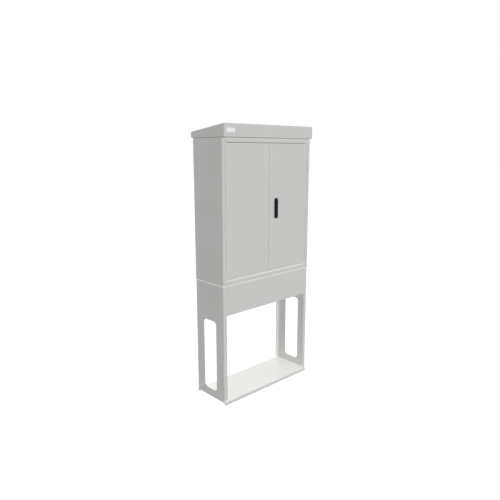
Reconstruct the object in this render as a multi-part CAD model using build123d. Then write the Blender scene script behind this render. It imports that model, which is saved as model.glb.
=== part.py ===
from build123d import *
import math
import os

# Cable cabinet of folded sheet steel: a double-door body under a sloped roof, on an open pedestal
# that is set in the ground. Millimetres, +X to the right, the doors face -Y, the floor is z = 0.

# Pedestal
body_width = 800
body_depth = 284
base_lip = 22
base_sheet = 3
base_overhang = 3
base_bend = 6
base_lip_chamfer = 8
pedestal_height = 788
pedestal_sheet = 2.5
pedestal_bend = 8
pedestal_tight_bend = 3
pedestal_flange = 27
pedestal_return = 22
lid_height = 14
flange_relief = 10
window_width = 126
window_height = 484
window_sill = 50
window_corner = 28
corner_lap = 1
skirt_height = 199
skirt_flange = 25

# Body
side_height = 910
sheet = 2
bend = 3
front_flange = 25
back_flange = 20
rebate_depth = 33
sealing_lip = 44
rail_flange = 20
top_rail_height = 26
bottom_rail_height = 31
ledge_bend = 8
corner_gap = 1
floor_border = 60

# Roof
roof_overhang = 20
roof_front_height = 82
roof_back_height = 38
roof_flange = 60
roof_side_flange = 25
gasket_thickness = 2
gasket_width = 16
gasket_margin = 4

# Doors, their pivots and seals
door_gap = 3
sill_gap = 4
door_depth = 25
door_bend = 3
door_return = 42
meeting_return = 22
pivot_inset = 12
pivot_setback = 9
pin_radius = 4
pin_reach = 14
pin_collar = 3
block_width = 18
block_depth = 16
block_height = 26
bush_wall = 2
bush_flange = 2
bush_flange_width = 2
bush_length = 10
seal_width = 12
seal_margin = 3
meeting_seal_depth = 14

# Swing handle and lock of the right door
handle_x = 63.5
handle_width = 23
handle_height = 131
base_thickness = 3
base_corner = 4
hub_drop = 23
hub_radius = 8
hub_head_radius = 9.6
hub_head = 1.6
hub_square = 10
hub_end_radius = 4
lug_width = 10
lever_pivot_rise = 8
lever_width = 20
lever_thickness = 7
lever_end_gap = 1.5
lever_edge = 1.8
fork_depth = 16
lever_pin_radius = 1.6
plug_radius = 4.5
plug_rise = 22
plug_proud = 0.4
key_slot_width = 1.2
key_slot_length = 5
key_slot_depth = 3
pinion_teeth = 16
pinion_module = 1.5
pinion_width = 7
tooth_backlash = 0.25
rod_width = 11.7
rod_thickness = 5
rod_setback = 38
rod_overlap = 8
rack_teeth = 8
rod_stop_gap = 1
cover_height = 64
cover_flange = 14
cover_gap = 0.3
guide_width = 24
guide_height = 12
guide_wall = 4
guide_inset = 60
bolt_x = -44
bolt_length = 160
bolt_guide_spacing = 100
bolt_knob_radius = 5
bolt_knob_length = 14
keeper_width = 28
keeper_height = 24
keeper_wall = 3

# Inside
plate_width = 690
plate_floor_gap = 120
plate_top_gap = 70
plate_standoff = 26
plate_fold = 12
bracket_width = 30
bracket_inset = 60
bracket_foot = 15
rail_width = 35
rail_depth = 7.5
rail_foot = 4
rail_sheet = 1
rail_bend = 1.2
rail_length = 600
rail_spacing = 150
clamp_rail_height = 40
clamp_rail_depth = 22
clamp_rail_lip = 9
clamp_rail_rise = 36
clamp_rail_gap = 14
earth_bar_length = 500
earth_bar_width = 30
earth_bar_thickness = 5
earth_bar_standoff = 25
earth_bar_rise = 30
support_radius = 10
support_inset = 40

# Fasteners and clearances
bolt_radius = 4
head_height_share = 1.3
across_flats_share = 3.4
nut_height_share = 1.6
thread_end = 3
hole_gap = 0.5
bolt_inset = 110
bolt_edge = 16.2
roof_bolt_setback = 30
roof_bolt_inset = 60
fit = 0.05
running_gap = 0.06
slide_gap = 0.2
rest_gap = 0.3
overrun = 10

# Levels and faces that the pieces share
half_width = body_width / 2
front = -body_depth / 2
back = body_depth / 2
joint_z = base_lip + pedestal_height
lid_low = joint_z - lid_height
pedestal_inner_bend = pedestal_bend - pedestal_sheet
pedestal_tight_inner = pedestal_tight_bend - pedestal_sheet
post_inner = half_width - pedestal_flange
side_top = joint_z + side_height
ledge_z = joint_z + bottom_rail_height
head_z = side_top - top_rail_height
roof_bottom = side_top + sheet + gasket_thickness
opening_half = half_width - front_flange
lip_face = front + rebate_depth
lip_back = lip_face + sheet
lip_low = ledge_z + sealing_lip
lip_high = head_z - sealing_lip
lip_inner = opening_half - sealing_lip
door_low = ledge_z + sill_gap
door_high = head_z - door_gap
door_outer = opening_half - door_gap
door_inner = door_gap / 2
door_back = front + door_depth
skin_back = front + sheet
pivot_x = door_outer - pivot_inset
pivot_y = front + pivot_setback
handle_z = (door_low + door_high) / 2
lip_middle = (lip_low + lip_high) / 2
hub_z = handle_z + handle_height / 2 - hub_drop
pitch_radius = pinion_module * pinion_teeth / 2
rod_front = front + rod_setback
rod_back = rod_front + rod_thickness
panel_front = back - 2 * sheet
plate_front = panel_front - plate_standoff - sheet
plate_low = joint_z + plate_floor_gap
plate_high = side_top - plate_top_gap
bush_radius = pin_radius + running_gap + bush_wall

up = (0, 0, 1)
down = (0, 0, -1)
forward = (0, -1, 0)
backward = (0, 1, 0)


def folded(points, thickness, radius):
    """Section of a folded sheet: one face follows the points, the sheet lies on their left.

    One radius serves all bends, or each bend has its own.
    """
    path = FilletPolyline(*points, radius=radius)
    return make_face(offset(path, thickness, side=Side.LEFT))


def along_x(section, length):
    return extrude(Plane.YZ * section, amount=length / 2, both=True)


def along_z(section, low, high):
    return Pos(0, 0, low) * extrude(section, amount=high - low)


def block(x, y, z):
    """Box between a low and a high value on each axis."""
    spans = (x, y, z)
    size = [high - low for low, high in spans]
    middle = [(high + low) / 2 for low, high in spans]
    return Pos(*middle) * Box(*size)


def prism(section, start, end):
    """A flat section carried from one point to another."""
    way = Vector(*end) - Vector(*start)
    return extrude(Plane(origin=start, z_dir=way) * section, amount=way.length)


def bar(start, end, radius):
    return prism(Circle(radius), start, end)


def moved(point, way, distance):
    return tuple(p + w * distance for p, w in zip(point, way))


def drill(point, way, radius):
    """Bar that cuts a hole through a sheet at the point."""
    return bar(moved(point, way, -overrun), moved(point, way, overrun), radius)


def hexagon(radius):
    return RegularPolygon(radius * across_flats_share / 2, 6, major_radius=False)


def bolt(seat, way, grip, radius):
    """Hex bolt: the head stands on the seat, the shank runs along way through the grip and a nut."""
    shank_length = grip + radius * nut_height_share + thread_end
    head = prism(hexagon(radius), moved(seat, way, -radius * head_height_share), seat)
    return head + bar(seat, moved(seat, way, shank_length), radius)


def nut(seat, way, radius):
    body = prism(hexagon(radius), seat, moved(seat, way, radius * nut_height_share))
    return body - drill(seat, way, radius + fit)


def group(pieces):
    """Like pieces in one node, each a solid of its own."""
    return Part() + list(pieces)


def right(piece):
    return mirror(piece, about=Plane.YZ)


def both_groups(pieces):
    """Pieces of one side and their mirror images, in one node."""
    return group(half for piece in pieces for half in (piece, right(piece)))


# Pedestal


def base_plate():
    edge = back + base_overhang
    section = folded([(edge, 0), (edge, base_lip), (-edge, base_lip), (-edge, 0)], base_sheet, base_bend)
    plate = along_x(section, body_width)
    lip_ends = plate.edges().group_by(Axis.Z)[0].filter_by(Axis.Y)
    return chamfer(lip_ends, base_lip_chamfer)


def pedestal_posts():
    """Folded corner posts of the left side: wall, flange and return, the flange clear of the base plate."""
    points = [
        (-half_width, -window_width / 2),
        (-half_width, front),
        (-post_inner, front),
        (-post_inner, front + pedestal_return),
    ]
    bends = (pedestal_bend, pedestal_tight_bend)
    post = along_z(folded(points, pedestal_sheet, bends), base_lip, lid_low)
    relief_x = (pedestal_bend - half_width, overrun - post_inner)
    relief_y = (front - overrun, front + pedestal_return + overrun)
    post -= block(relief_x, relief_y, (base_lip - overrun, base_lip + flange_relief))
    return group([post, mirror(post, about=Plane.XZ)])


def pedestal_wall():
    """Sill and head plates welded between the left posts, with the rounded corners of the window."""
    half = window_width / 2
    wall = block((-half_width, pedestal_sheet - half_width), (-half, half), (base_lip, lid_low))
    window = RectangleRounded(window_width + 2 * corner_lap, window_height, window_corner)
    window_z = base_lip + window_sill + window_height / 2
    cut = extrude(Plane.YZ * Pos(0, window_z) * window, amount=half_width + overrun)
    return wall - mirror(cut, about=Plane.YZ)


def lid_bends(lid, radius):
    """Rounds the left lid's outer corners and its top edges, all but the edge over the bay."""
    corners = lid.edges().filter_by(Axis.Z).group_by(Axis.X)[0]
    tops = lid.faces().sort_by(Axis.Z)[-1].edges().sort_by(Axis.X)[:-1]
    return fillet(corners + tops, radius)


def pedestal_lids():
    """Folded lids that close the tops of the sides, with the holes for the body's bolts."""
    t = pedestal_sheet
    lid = lid_bends(block((-half_width, -post_inner), (front, back), (lid_low, joint_z)), pedestal_bend)
    hollow = block((t - half_width, -post_inner - t), (front + t, back - t), (lid_low - overrun, joint_z - t))
    lid -= lid_bends(hollow, pedestal_inner_bend)
    for seat in pedestal_bolt_seats():
        lid -= drill(seat, up, bolt_radius + hole_gap)
    return both_groups([lid])


def pedestal_bolt_seats():
    """Bolts that hold the body on one pedestal side, under their heads on the floor plate."""
    x = bolt_edge - half_width
    return [(x, y, joint_z + sheet) for y in (front + bolt_inset, back - bolt_inset)]


def pedestal_bolts():
    grip = sheet + pedestal_sheet
    return both_groups(bolt(seat, down, grip, bolt_radius) for seat in pedestal_bolt_seats())


def pedestal_nuts():
    under = joint_z - pedestal_sheet
    seats = [(x, y, under) for x, y, z in pedestal_bolt_seats()]
    return both_groups(nut(seat, down, bolt_radius) for seat in seats)


def skirt_bends(tray, high_radius, low_radius):
    """Rounds the upper and the lower edge of a tray's front."""
    high_edge = tray.faces().sort_by(Axis.Y)[0].edges().filter_by(Axis.X).sort_by(Axis.Z)[-1]
    tray = fillet(high_edge, high_radius)
    low_edge = tray.faces().sort_by(Axis.Y)[0].edges().filter_by(Axis.X).sort_by(Axis.Z)[0]
    return fillet(low_edge, low_radius)


def skirt():
    """Folded tray between the posts, open to the inside."""
    low = joint_z - skirt_height
    t = pedestal_sheet
    tray = block((-post_inner, post_inner), (front, front + skirt_flange), (low, joint_z))
    hollow_x = (t - post_inner, post_inner - t)
    hollow = block(hollow_x, (front + t, front + skirt_flange + overrun), (low + t, joint_z - t))
    tray = skirt_bends(tray, pedestal_bend, pedestal_tight_bend)
    return tray - skirt_bends(hollow, pedestal_inner_bend, pedestal_tight_inner)


# Body


def floor_side_strips():
    """Floor strips over the pedestal's lids, notched for the side panels' inner walls."""
    floor_z = (joint_z, joint_z + sheet)
    strip_x = (sheet - half_width, floor_border - half_width)
    strip = block(strip_x, (front + rail_flange, panel_front), floor_z)
    notch_x = (-opening_half - sheet - corner_gap, corner_gap - opening_half)
    strip -= block(notch_x, (front, lip_back + corner_gap), (joint_z - overrun, joint_z + overrun))
    for seat in pedestal_bolt_seats():
        strip -= drill(seat, up, bolt_radius + hole_gap)
    return both_groups([strip])


def floor_cross_strips():
    """Front and rear floor strips, welded to the side strips around the cable opening."""
    half = half_width - floor_border
    floor_z = (joint_z, joint_z + sheet)
    front_strip = block((-half, half), (front + rail_flange, front + floor_border), floor_z)
    rear_strip = block((-half, half), (back - floor_border, panel_front), floor_z)
    return group([front_strip, rear_strip])


def side_panel():
    wall = -opening_half
    points = [
        (back_flange - half_width, back),
        (-half_width, back),
        (-half_width, front),
        (wall, front),
        (wall, lip_face),
        (-lip_inner, lip_face),
    ]
    panel = along_z(folded(points, sheet, bend), joint_z, side_top)
    lip_x = (wall, overrun - lip_inner)
    lip_y = (lip_face - bend, lip_back + overrun)
    panel -= block(lip_x, lip_y, (head_z - corner_gap, side_top + overrun))
    panel -= block(lip_x, lip_y, (joint_z - overrun, ledge_z + corner_gap))
    return panel


def back_panel():
    edge = half_width - sheet - bend
    return block((-edge, edge), (panel_front, back - sheet), (joint_z + sheet, side_top))


def rail(points, bends, level, lip_z):
    """Front rail of the door opening, with its sealing lip cut back between the side panels' lips."""
    body = along_x(folded(points, sheet, bends), 2 * opening_half)
    lip_end = block((lip_inner - corner_gap, half_width), (lip_face - bend, lip_back + overrun), lip_z)
    bore = drill((pivot_x, pivot_y, level), up, bush_radius + fit)
    return body - both_groups([lip_end, bore])


def top_rail():
    points = [
        (front + rail_flange, side_top),
        (front, side_top),
        (front, head_z),
        (lip_face, head_z),
        (lip_face, lip_high),
    ]
    return rail(points, bend, head_z, (lip_high - overrun, head_z))


def bottom_rail():
    points = [
        (lip_face, lip_low),
        (lip_face, ledge_z),
        (front, ledge_z),
        (front, joint_z),
        (front + rail_flange, joint_z),
    ]
    return rail(points, (bend, ledge_bend, bend), ledge_z, (ledge_z, lip_low + overrun))


def top_panel():
    panel = block((-half_width, half_width), (front, back), (side_top, side_top + sheet))
    panel = fillet(panel.edges().filter_by(Axis.Z), bend)
    for seat in roof_bolt_seats():
        panel -= drill(seat, up, bolt_radius + hole_gap)
    return panel


# Roof


def roof_bolt_seats():
    x = half_width - roof_bolt_inset
    y = back - roof_bolt_setback
    return [(a, b, side_top) for a in (-x, x) for b in (-y, y)]


def roof():
    edge = back + roof_overhang
    outline = make_face(
        Polyline(
            (-edge, roof_bottom),
            (-edge, roof_bottom + roof_front_height),
            (edge, roof_bottom + roof_back_height),
            (edge, roof_bottom),
            close=True,
        )
    )
    shell = along_x(outline, body_width)
    shell = fillet(shell.edges(), bend)
    shell -= along_x(offset(outline, -sheet, kind=Kind.INTERSECTION), body_width - 2 * sheet)
    inner_x = half_width - roof_side_flange
    inner_y = edge - roof_flange
    shell -= block((-inner_x, inner_x), (-inner_y, inner_y), (roof_bottom - overrun, roof_bottom + overrun))
    for x, y, z in roof_bolt_seats():
        shell -= drill((x, y, roof_bottom), up, bolt_radius + hole_gap)
    return shell


def roof_gasket():
    size_x = body_width - 2 * gasket_margin
    size_y = body_depth - 2 * gasket_margin
    ring = Rectangle(size_x, size_y) - Rectangle(size_x - 2 * gasket_width, size_y - 2 * gasket_width)
    return along_z(ring, side_top + sheet, roof_bottom)


def roof_bolts():
    grip = roof_bottom + sheet - side_top
    return group(bolt(seat, up, grip, bolt_radius) for seat in roof_bolt_seats())


def roof_nuts():
    return group(nut((x, y, roof_bottom + sheet), up, bolt_radius) for x, y, z in roof_bolt_seats())


# Doors


def door():
    """Right door: a folded tray whose back return presses on the seal."""
    tray = block((door_inner, door_outer), (front, door_back), (door_low, door_high))
    tray = fillet(tray.faces().sort_by(Axis.Y)[0].edges(), door_bend)
    inside_x = (door_inner + sheet, door_outer - sheet)
    inside_z = (door_low + sheet, door_high - sheet)
    tray -= block(inside_x, (skin_back, door_back - sheet), inside_z)
    open_x = (door_inner + meeting_return, door_outer - door_return)
    open_z = (door_low + door_return, door_high - door_return)
    tray -= block(open_x, (door_back - sheet - overrun, door_back + overrun), open_z)
    for z in (door_low, door_high):
        tray -= drill((pivot_x, pivot_y, z), up, pin_radius + slide_gap)
    return tray


def right_door():
    return door() - drill((handle_x, front, hub_z), forward, hub_radius + hole_gap)


def about_level(piece, z):
    """Mirror image of a piece above a level."""
    return mirror(piece, about=Plane.XY.offset(z))


def pivot_bar(low, high, radius):
    """Round bar on the right door's pivot axis."""
    return bar((pivot_x, pivot_y, low), (pivot_x, pivot_y, high), radius)


def pivot_blocks():
    """Blocks in the door's outer corners that carry the pins."""
    edge = door_outer - sheet
    top = door_high - sheet
    seat = block((edge - block_width, edge), (skin_back, skin_back + block_depth), (top - block_height, top))
    seat -= pivot_bar(top - block_height - overrun, top + overrun, pin_radius + fit)
    return group([seat, about_level(seat, handle_z)])


def pivot_pin(edge, level):
    """Pin from the door's edge into a rail at the level, with a collar that runs on the bush's flange."""
    way = math.copysign(1, level - edge)
    pin = pivot_bar(edge - way * (sheet + block_height), level + way * pin_reach, pin_radius)
    return pin + pivot_bar(edge, level - way * (bush_flange + 2 * fit), pin_radius + pin_collar)


def pivot_pins():
    return group([pivot_pin(door_high, head_z), pivot_pin(door_low, ledge_z)])


def pivot_bush(level, way):
    """Flanged bush in a rail."""
    end = level + way * bush_length
    bush = pivot_bar(level - way * bush_flange, level, bush_radius + bush_flange_width)
    bush += pivot_bar(level, end, bush_radius)
    return bush - pivot_bar(level - way * overrun, end + way * overrun, pin_radius + running_gap)


def pivot_bushes():
    return both_groups([pivot_bush(head_z, 1), pivot_bush(ledge_z, -1)])


def door_seal():
    """Seal ring on the sealing lips, just clear of the doors' back returns."""
    outer_x = lip_inner + seal_margin + seal_width
    inner_x = lip_inner + seal_margin
    inner_low = lip_low - seal_margin
    inner_high = lip_high + seal_margin
    depth = (door_back + rest_gap, lip_face)
    ring = block((-outer_x, outer_x), depth, (inner_low - seal_width, inner_high + seal_width))
    return ring - block((-inner_x, inner_x), (front, back), (inner_low, inner_high))


def meeting_seal():
    """Rounded strip on the left door's free edge, filling the gap between the doors."""
    middle = front + door_depth / 2
    strip = door_gap - rest_gap
    low = middle - meeting_seal_depth / 2
    bead = block((-door_inner, strip - door_inner), (low, low + meeting_seal_depth), (door_low, door_high))
    lips = bead.edges().filter_by(Axis.Z).group_by(Axis.X)[-1]
    return fillet(lips, strip / 2)


# Swing handle


def front_plate(outline, outer_y, inner_y):
    """An outline seen from the front, thick between two depths."""
    return extrude(Plane.XZ.offset(-inner_y) * outline, amount=inner_y - outer_y)


def handle_base():
    """Flat dish with a round bottom end and a pocket for the hub's head."""
    round_end = handle_width / 2
    low = handle_z - handle_height / 2
    high = handle_z + handle_height / 2
    outline = Pos(handle_x, low + round_end) * Circle(round_end)
    plate_z = low + round_end
    plate = Pos(handle_x, (plate_z + high) / 2) * Rectangle(handle_width, high - plate_z)
    outline += fillet(plate.vertices().group_by(Axis.Y)[-1], base_corner)
    face_y = front - base_thickness
    dish = front_plate(outline, face_y, front)
    dish -= hub_bar(face_y - overrun, hub_head_back(), hub_head_radius + rest_gap)
    return dish - hub_bar(front - overrun, front + overrun, hub_radius + running_gap)


def hub_bar(outer_y, inner_y, radius):
    """Round bar on the hub's axis between two depths."""
    return bar((handle_x, outer_y, hub_z), (handle_x, inner_y, hub_z), radius)


def hub_head_back():
    return front - base_thickness + hub_head


def lever_back():
    return front - base_thickness - rest_gap


def lever_pivot():
    return (lever_back() - lever_thickness / 2, hub_z + lever_pivot_rise)


def handle_hub():
    """Head and lug in front, journal in the base, square for the pinion, end journal in the cover."""
    head_front = front - base_thickness
    square_start = skin_back + slide_gap
    pinion_back = rod_back + (pinion_width - rod_thickness) / 2
    end = cover_back() + rest_gap
    hub = hub_bar(head_front, hub_head_back() - slide_gap, hub_head_radius)
    hub += hub_bar(head_front, square_start, hub_radius)
    shank = Rectangle(hub_square, hub_square)
    hub += prism(shank, (handle_x, square_start, hub_z), (handle_x, pinion_back, hub_z))
    hub += hub_bar(pinion_back, end, hub_end_radius)
    y, z = lever_pivot()
    half = lug_width / 2
    nose = lever_thickness / 2
    hub += bar((handle_x - half, y, z), (handle_x + half, y, z), nose)
    hub += block((handle_x - half, handle_x + half), (y, head_front), (hub_z - hub_radius / 2, z + nose))
    return hub - bar((handle_x - hub_radius, y, z), (handle_x + hub_radius, y, z), lever_pin_radius + fit / 2)


def handle_lever():
    """Lever with a forked, round top end on the hub's lug and a round bottom end."""
    y, z = lever_pivot()
    face_y = lever_back() - lever_thickness
    low = handle_z - handle_height / 2 + lever_end_gap
    end = lever_width / 2
    outline = Pos(handle_x, low + end) * Circle(end)
    outline += Pos(handle_x, (low + end + z) / 2) * Rectangle(lever_width, z - low - end)
    grip = front_plate(outline, face_y, lever_back())
    grip += bar((handle_x - end, y, z), (handle_x + end, y, z), lever_thickness / 2)
    face_edges = grip.faces().sort_by(Axis.Y)[0].edges()
    grip = chamfer(face_edges.sort_by(Axis.Z)[:-1], lever_edge)
    slot = lug_width / 2 + rest_gap
    fork_z = (z - fork_depth, z + overrun)
    grip -= block((handle_x - slot, handle_x + slot), (face_y - overrun, front), fork_z)
    grip -= bar((handle_x - end, y, z), (handle_x + end, y, z), lever_pin_radius + running_gap)
    plug_z = low + plug_rise
    bore = bar((handle_x, face_y - overrun, plug_z), (handle_x, front, plug_z), plug_radius + running_gap)
    return grip - bore


def lever_pin():
    y, z = lever_pivot()
    half = lever_width / 2 - slide_gap
    return bar((handle_x - half, y, z), (handle_x + half, y, z), lever_pin_radius)


def lock_plug():
    face_y = lever_back() - lever_thickness - plug_proud
    plug_z = handle_z - handle_height / 2 + lever_end_gap + plug_rise
    plug = bar((handle_x, face_y, plug_z), (handle_x, lever_back() - slide_gap, plug_z), plug_radius)
    half_slot = key_slot_width / 2
    half_length = key_slot_length / 2
    slot_y = (face_y - overrun, face_y + key_slot_depth)
    slot_z = (plug_z - half_length, plug_z + half_length)
    return plug - block((handle_x - half_slot, handle_x + half_slot), slot_y, slot_z)


# Lock of the right door: a pinion on the hub drives two toothed rods

pressure_angle = 20
addendum_share = 0.8
dedendum_share = 1
flank_steps = 4


def involute_point(base_radius, radius, start_angle):
    """Point of an involute that leaves its base circle at the start angle."""
    roll = math.sqrt(max(0, (radius / base_radius) ** 2 - 1))
    angle = start_angle + roll - math.atan(roll)
    return radius * math.cos(angle), radius * math.sin(angle)


def lock_pinion():
    tip = pitch_radius + addendum_share * pinion_module
    root = pitch_radius - dedendum_share * pinion_module
    base = pitch_radius * math.cos(math.radians(pressure_angle))
    spread = math.tan(math.radians(pressure_angle)) - math.radians(pressure_angle)
    half_tooth = (math.pi * pinion_module / 2 - tooth_backlash) / (2 * pitch_radius)
    start = -half_tooth - spread
    radii = [base + (tip - base) * step / flank_steps for step in range(flank_steps + 1)]
    low_flank = [involute_point(base, radius, start) for radius in radii]
    low_flank.insert(0, (root * math.cos(start), root * math.sin(start)))
    tooth = low_flank + [(x, -y) for x, y in reversed(low_flank)]
    points = []
    for index in range(pinion_teeth):
        turn = 2 * math.pi * index / pinion_teeth
        c, s = math.cos(turn), math.sin(turn)
        points += [(x * c - y * s, x * s + y * c) for x, y in tooth]
    square = Rectangle(hub_square + 2 * fit, hub_square + 2 * fit)
    gear = make_face(Polyline(*points, close=True)) - square
    inner_y = rod_back + (pinion_width - rod_thickness) / 2
    return front_plate(Pos(handle_x, hub_z) * gear, inner_y - pinion_width, inner_y)


def rack_gap():
    """Trapezoid cut between two rack teeth, with the pitch line on x = 0 and the bar on its left."""
    slope = math.tan(math.radians(pressure_angle))
    half_pitch_gap = (math.pi * pinion_module / 2 + tooth_backlash) / 2
    tip = addendum_share * pinion_module
    root = -dedendum_share * pinion_module - tooth_backlash
    wide = half_pitch_gap + tip * slope
    narrow = half_pitch_gap + root * slope
    return make_face(Polyline((tip, -wide), (tip, wide), (root, narrow), (root, -narrow), close=True))


def rack_pitch_line():
    return pitch_radius + fit


def upper_lock_rod():
    """Flat rod to the left of the pinion, toothed at its lower end."""
    pitch_x = handle_x - rack_pitch_line()
    tip_x = pitch_x + addendum_share * pinion_module
    rod_z = (hub_z - rod_overlap, lip_high - rod_stop_gap)
    rod = block((tip_x - rod_width, tip_x), (rod_front, rod_back), rod_z)
    pitch = math.pi * pinion_module
    gaps = [Pos(pitch_x, hub_z + index * pitch) * rack_gap() for index in range(-1, rack_teeth)]
    return rod - front_plate(Sketch() + gaps, rod_front - overrun, rod_back + overrun)


def lower_lock_rod():
    """The same rod to the right of the pinion, turned end for end about the hub."""
    pitch_x = handle_x + rack_pitch_line()
    tip_x = pitch_x - addendum_share * pinion_module
    rod_z = (lip_low + rod_stop_gap, hub_z + rod_overlap)
    rod = block((tip_x, tip_x + rod_width), (rod_front, rod_back), rod_z)
    pitch = math.pi * pinion_module
    turned_gap = Rot(0, 0, 180) * rack_gap()
    gaps = [Pos(pitch_x, hub_z - index * pitch) * turned_gap for index in range(-1, rack_teeth)]
    return rod - front_plate(Sketch() + gaps, rod_front - overrun, rod_back + overrun)


def rod_outer():
    return rack_pitch_line() - addendum_share * pinion_module + rod_width


def cover_back():
    return rod_back + guide_wall + sheet


def lock_cover():
    """Folded cover over the pinion, open at both ends for the rods."""
    half = rod_outer() + cover_gap
    points = [
        (handle_x - half - cover_flange, skin_back),
        (handle_x - half, skin_back),
        (handle_x - half, rod_back + guide_wall),
        (handle_x + half, rod_back + guide_wall),
        (handle_x + half, skin_back),
        (handle_x + half + cover_flange, skin_back),
    ]
    cover = along_z(folded(points, sheet, bend), hub_z - cover_height / 2, hub_z + cover_height / 2)
    return cover - hub_bar(rod_back, cover_back() + overrun, hub_end_radius + running_gap)


def guide(x, z, width):
    """Moulded post on the door skin with a slot for a flat rod of the given width."""
    half = guide_width / 2
    post_z = (z - guide_height / 2, z + guide_height / 2)
    post = block((x - half, x + half), (skin_back, rod_back + guide_wall), post_z)
    slot = width / 2 + slide_gap
    slot_y = (rod_front - slide_gap, rod_back + slide_gap)
    return post - block((x - slot, x + slot), slot_y, (z - guide_height, z + guide_height))


def rod_guides():
    middle = rod_outer() - rod_width / 2
    return group(
        [
            guide(handle_x - middle, lip_high - guide_inset, rod_width),
            guide(handle_x + middle, lip_low + guide_inset, rod_width),
        ]
    )


# Slide bolts of the left door


def slide_bolt():
    """Upper slide bolt: a flat rod with a finger knob near its lower end."""
    top = lip_high - rod_stop_gap
    half = rod_width / 2
    rod = block((bolt_x - half, bolt_x + half), (rod_front, rod_back), (top - bolt_length, top))
    knob = (bolt_x, rod_back, top - bolt_length + 2 * bolt_knob_radius)
    return rod + bar(knob, moved(knob, backward, bolt_knob_length), bolt_knob_radius)


def bolt_guides():
    high = lip_high - guide_height - rod_stop_gap
    uppers = [guide(bolt_x, high, rod_width), guide(bolt_x, high - bolt_guide_spacing, rod_width)]
    return group(uppers + [about_level(g, lip_middle) for g in uppers])


def keeper(x):
    """Pocket behind the top rail's lip that takes a rod's end."""
    half = keeper_width / 2
    low = lip_high + keeper_wall
    body = block((x - half, x + half), (lip_back, rod_back + 2 * keeper_wall), (low, low + keeper_height))
    slot = half - keeper_wall
    slot_y = (rod_front - rod_stop_gap, rod_back + rod_stop_gap)
    return body - block((x - slot, x + slot), slot_y, (low - overrun, low + keeper_height + overrun))


def door_keepers():
    middle = rod_outer() - rod_width / 2
    uppers = [keeper(handle_x - middle), keeper(bolt_x)]
    lowers = [keeper(handle_x + middle), keeper(bolt_x)]
    return group(uppers + [about_level(k, lip_middle) for k in lowers])


# Inside


def mounting_plate():
    half = plate_width / 2
    points = [
        (-half, plate_front + plate_fold),
        (-half, plate_front),
        (half, plate_front),
        (half, plate_front + plate_fold),
    ]
    return along_z(folded(points, sheet, bend), plate_low, plate_high)


def mounting_brackets():
    """Two hat rails that hold the plate off the back panel."""
    half = bracket_width / 2
    crown = plate_front + 2 * sheet
    brackets = []
    for z in (plate_low + bracket_inset, plate_high - bracket_inset):
        points = [
            (panel_front, z - half - bracket_foot),
            (panel_front, z - half),
            (crown, z - half),
            (crown, z + half),
            (panel_front, z + half),
            (panel_front, z + half + bracket_foot),
        ]
        brackets.append(along_x(folded(points, sheet, bend), plate_width - 2 * plate_fold))
    return group(brackets)


def din_rail(z):
    """Top-hat rail with its channel against the plate."""
    half = rail_width / 2
    channel = half - rail_foot
    face = plate_front - rail_depth
    points = [
        (face, z + half),
        (face, z + channel),
        (plate_front - rail_sheet, z + channel),
        (plate_front - rail_sheet, z - channel),
        (face, z - channel),
        (face, z - half),
    ]
    return along_x(folded(points, rail_sheet, rail_bend), rail_length)


def cable_clamp_rail():
    """C-rail across the body, open to the front, for cable clamps."""
    low = ledge_z + clamp_rail_rise
    high = low + clamp_rail_height
    deep = panel_front - clamp_rail_gap
    mouth = deep - clamp_rail_depth
    points = [
        (mouth, low + clamp_rail_lip),
        (mouth, low),
        (deep, low),
        (deep, high),
        (mouth, high),
        (mouth, high - clamp_rail_lip),
    ]
    return along_x(folded(points, sheet, bend), body_width - 2 * sheet)


earth_z = plate_low + earth_bar_rise + earth_bar_width / 2
earth_back = plate_front - earth_bar_standoff


def earth_bar():
    half = earth_bar_length / 2
    bar_z = (earth_z - earth_bar_width / 2, earth_z + earth_bar_width / 2)
    return block((-half, half), (earth_back - earth_bar_thickness, earth_back), bar_z)


def earth_bar_supports():
    x = earth_bar_length / 2 - support_inset / 2
    return group(bar((a, earth_back, earth_z), (a, plate_front, earth_z), support_radius) for a in (-x, x))


rail_middle = (plate_low + plate_high + rail_spacing) / 2

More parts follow.
